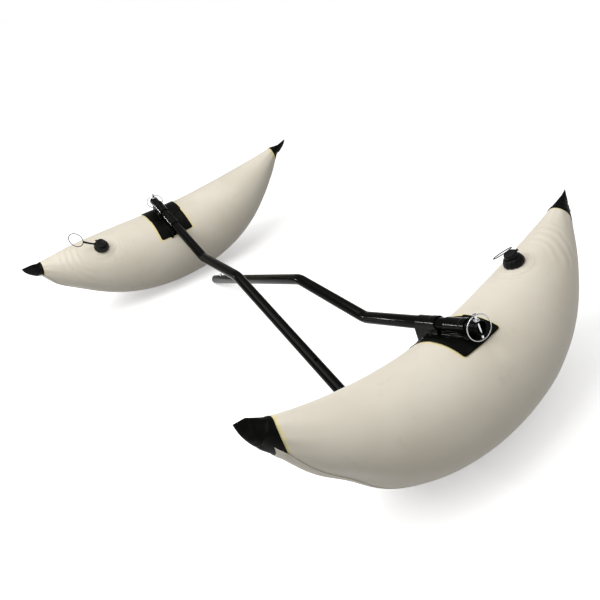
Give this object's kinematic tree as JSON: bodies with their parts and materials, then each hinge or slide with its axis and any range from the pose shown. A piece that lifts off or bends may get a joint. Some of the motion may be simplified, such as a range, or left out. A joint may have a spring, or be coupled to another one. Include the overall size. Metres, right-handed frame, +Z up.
{
  "type": "kayak outrigger",
  "caption": "Curved inflatable float with a sleeve-held bent arm, locking pin and screw valve that steadies a kayak from the side; shown as the two units of a pair.",
  "frame": {"origin": "on the floor, under the centre of the bounding box of the two units as they lie", "axes": "+Z up from the floor; +Y away from the viewer of the picture; +X to the viewer's right"},
  "size_m": [1.4964, 1.5026, 0.3688],
  "materials": {
    "pale_vinyl": "satin",
    "black_vinyl": "satin",
    "black_anodised": "satin",
    "spring_steel": "polished",
    "black_plastic": "satin",
    "black_rubber": "matte"
  },
  "bodies": {
    "floats": {"near_float": "pale_vinyl", "near_keel_tape": "pale_vinyl", "near_fore_end_cap": "black_vinyl", "near_aft_end_cap": "black_vinyl", "near_sleeve_patch": "black_vinyl", "near_sleeve_overlay": "black_vinyl", "near_inboard_loop": "black_vinyl", "near_outboard_loop": "black_vinyl", "near_valve_disc": "pale_vinyl", "near_valve_seat": "black_plastic", "far_float": "pale_vinyl", "far_keel_tape": "pale_vinyl", "far_fore_end_cap": "black_vinyl", "far_aft_end_cap": "black_vinyl", "far_sleeve_patch": "black_vinyl", "far_sleeve_overlay": "black_vinyl", "far_inboard_loop": "black_vinyl", "far_outboard_loop": "black_vinyl", "far_valve_disc": "pale_vinyl", "far_valve_seat": "black_plastic"},
    "near_arm": {"near_arm_tube": "black_anodised", "near_snap_spring": "spring_steel"},
    "near_upper_button": {"near_upper_snap_button": "spring_steel"},
    "near_lower_button": {"near_lower_snap_button": "spring_steel"},
    "near_pin": {"near_lock_pin": "spring_steel"},
    "near_ring": {"near_lock_ring": "spring_steel"},
    "near_valve_carrier": {"near_valve_seal": "black_rubber"},
    "near_valve_insert": {"near_valve_body": "black_plastic", "near_valve_flap": "black_rubber"},
    "near_cap": {"near_valve_cap": "black_plastic", "near_cap_gasket": "black_rubber"},
    "near_leash": {"near_cap_leash": "black_plastic"},
    "far_arm": {"far_arm_tube": "black_anodised", "far_snap_spring": "spring_steel"},
    "far_upper_button": {"far_upper_snap_button": "spring_steel"},
    "far_lower_button": {"far_lower_snap_button": "spring_steel"},
    "far_pin": {"far_lock_pin": "spring_steel"},
    "far_ring": {"far_lock_ring": "spring_steel"},
    "far_valve_carrier": {"far_valve_seal": "black_rubber"},
    "far_valve_insert": {"far_valve_body": "black_plastic", "far_valve_flap": "black_rubber"},
    "far_cap": {"far_valve_cap": "black_plastic", "far_cap_gasket": "black_rubber"},
    "far_leash": {"far_cap_leash": "black_plastic"}
  },
  "joints": [
    {"name": "near_arm_slide", "type": "slide", "parent": "floats", "child": "near_arm", "axis": [0.5006, -0.8012, 0.3278], "range_m": [-0.003, 0.17]},
    {"name": "near_upper_button_press", "type": "slide", "parent": "near_arm", "child": "near_upper_button", "axis": [0.1737, -0.278, -0.9447], "range_m": [0, 0.0065], "stiffness_N_per_m": 900, "springref_m": -0.002, "deforming": ["near_snap_spring"]},
    {"name": "near_lower_button_press", "type": "slide", "parent": "near_arm", "child": "near_lower_button", "axis": [-0.1737, 0.278, 0.9447], "range_m": [0, 0.0065], "stiffness_N_per_m": 900, "springref_m": -0.002},
    {"name": "near_pin_lift", "type": "slide", "parent": "near_arm", "child": "near_pin", "axis": [-0.1737, 0.278, 0.9447], "range_m": [0, 0.008]},
    {"name": "near_ring_swing", "type": "hinge", "parent": "near_pin", "child": "near_ring", "pos_m": [0.38566, -0.54117, 0.31999], "axis": [-0.848, -0.5299, 0], "range_deg": [0, 150]},
    {"name": "near_valve_lift", "type": "slide", "parent": "floats", "child": "near_valve_carrier", "axis": [-0.317, 0.1337, 0.939], "range_m": [0, 0.00451]},
    {"name": "near_valve_turn", "type": "hinge", "parent": "near_valve_carrier", "child": "near_valve_insert", "pos_m": [0.54783, -0.35712, 0.29528], "axis": [-0.317, 0.1337, 0.939], "range_deg": [0, 540]},
    {"name": "near_cap_pull", "type": "slide", "parent": "near_valve_insert", "child": "near_cap", "axis": [-0.317, 0.1337, 0.939], "range_m": [0, 0.006]},
    {"name": "near_leash_swivel", "type": "hinge", "parent": "near_valve_carrier", "child": "near_leash", "pos_m": [0.54434, -0.35565, 0.30561], "axis": [-0.317, 0.1337, 0.939], "range_deg": [-5, 60]},
    {"name": "far_arm_slide", "type": "slide", "parent": "floats", "child": "far_arm", "axis": [-0.4171, 0.8477, 0.3278], "range_m": [-0.003, 0.17]},
    {"name": "far_upper_button_press", "type": "slide", "parent": "far_arm", "child": "far_upper_button", "axis": [-0.1447, 0.2941, -0.9447], "range_m": [0, 0.0065], "stiffness_N_per_m": 900, "springref_m": -0.002, "deforming": ["far_snap_spring"]},
    {"name": "far_lower_button_press", "type": "slide", "parent": "far_arm", "child": "far_lower_button", "axis": [0.1447, -0.2941, 0.9447], "range_m": [0, 0.0065], "stiffness_N_per_m": 900, "springref_m": -0.002},
    {"name": "far_pin_lift", "type": "slide", "parent": "far_arm", "child": "far_pin", "axis": [0.1447, -0.2941, 0.9447], "range_m": [0, 0.008]},
    {"name": "far_ring_swing", "type": "hinge", "parent": "far_pin", "child": "far_ring", "pos_m": [-0.34463, 0.56683, 0.31999], "axis": [0.8973, 0.4415, 0], "range_deg": [0, 150]},
    {"name": "far_valve_lift", "type": "slide", "parent": "floats", "child": "far_valve_carrier", "axis": [0.3267, -0.507, 0.7976], "range_m": [0, 0.00451]},
    {"name": "far_valve_turn", "type": "hinge", "parent": "far_valve_carrier", "child": "far_valve_insert", "pos_m": [-0.52333, 0.36529, 0.2697], "axis": [0.3267, -0.507, 0.7976], "range_deg": [0, 540]},
    {"name": "far_cap_pull", "type": "slide", "parent": "far_valve_insert", "child": "far_cap", "axis": [0.3267, -0.507, 0.7976], "range_m": [0, 0.006]},
    {"name": "far_leash_swivel", "type": "hinge", "parent": "far_valve_carrier", "child": "far_leash", "pos_m": [-0.51973, 0.35971, 0.27847], "axis": [0.3267, -0.507, 0.7976], "range_deg": [-60, 60]}
  ],
  "couplings": [
    {"joint": "near_lower_button_press", "follows": "near_upper_button_press", "ratio": 1},
    {"joint": "near_valve_lift", "follows": "near_valve_turn", "m_per_rad": 0.00047746},
    {"joint": "far_lower_button_press", "follows": "far_upper_button_press", "ratio": 1},
    {"joint": "far_valve_lift", "follows": "far_valve_turn", "m_per_rad": 0.00047746}
  ]
}
